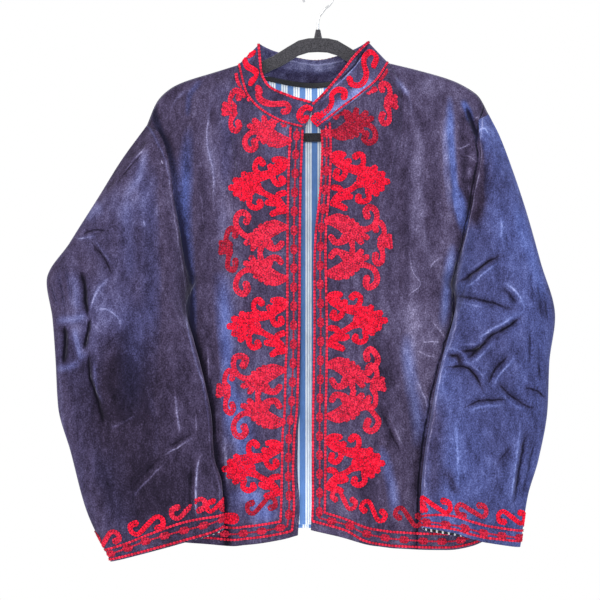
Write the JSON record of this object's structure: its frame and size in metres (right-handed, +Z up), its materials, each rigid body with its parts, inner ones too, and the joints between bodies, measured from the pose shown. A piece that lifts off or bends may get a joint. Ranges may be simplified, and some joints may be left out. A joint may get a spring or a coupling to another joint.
{
  "type": "velvet jacket on a hanger",
  "caption": "Open-front velvet jacket with a stand collar, embroidered edges and a striped lining, hung flat on a slim flocked hanger that a rail or hook carries.",
  "frame": {"origin": "seat of the hanger's hook, where a rail touches the inside of its top", "axes": "+Z up, -Y out of the jacket's front, +X towards the wearer's left"},
  "size_m": [0.69, 0.1374, 0.7957],
  "materials": {
    "velvet": "navy cotton velvet with a crushed nap",
    "embroidery": "red chain stitch in twisted thread",
    "striped_cotton": "plain weave cotton with blue and white stripes",
    "black_tape": "woven tape",
    "flock": "flocked",
    "ferrule": "flocked",
    "hook_metal": "polished wire"
  },
  "bodies": {
    "root": {"front_right": "velvet", "front_left": "velvet", "back": "velvet", "sleeve_right": "velvet", "sleeve_left": "velvet", "collar": "velvet", "lining_back": "striped_cotton", "neck_tape": "black_tape", "hanger_body": "flock", "hanger_ferrule": "ferrule", "hanger_hook": "hook_metal"}
  },
  "joints": []
}
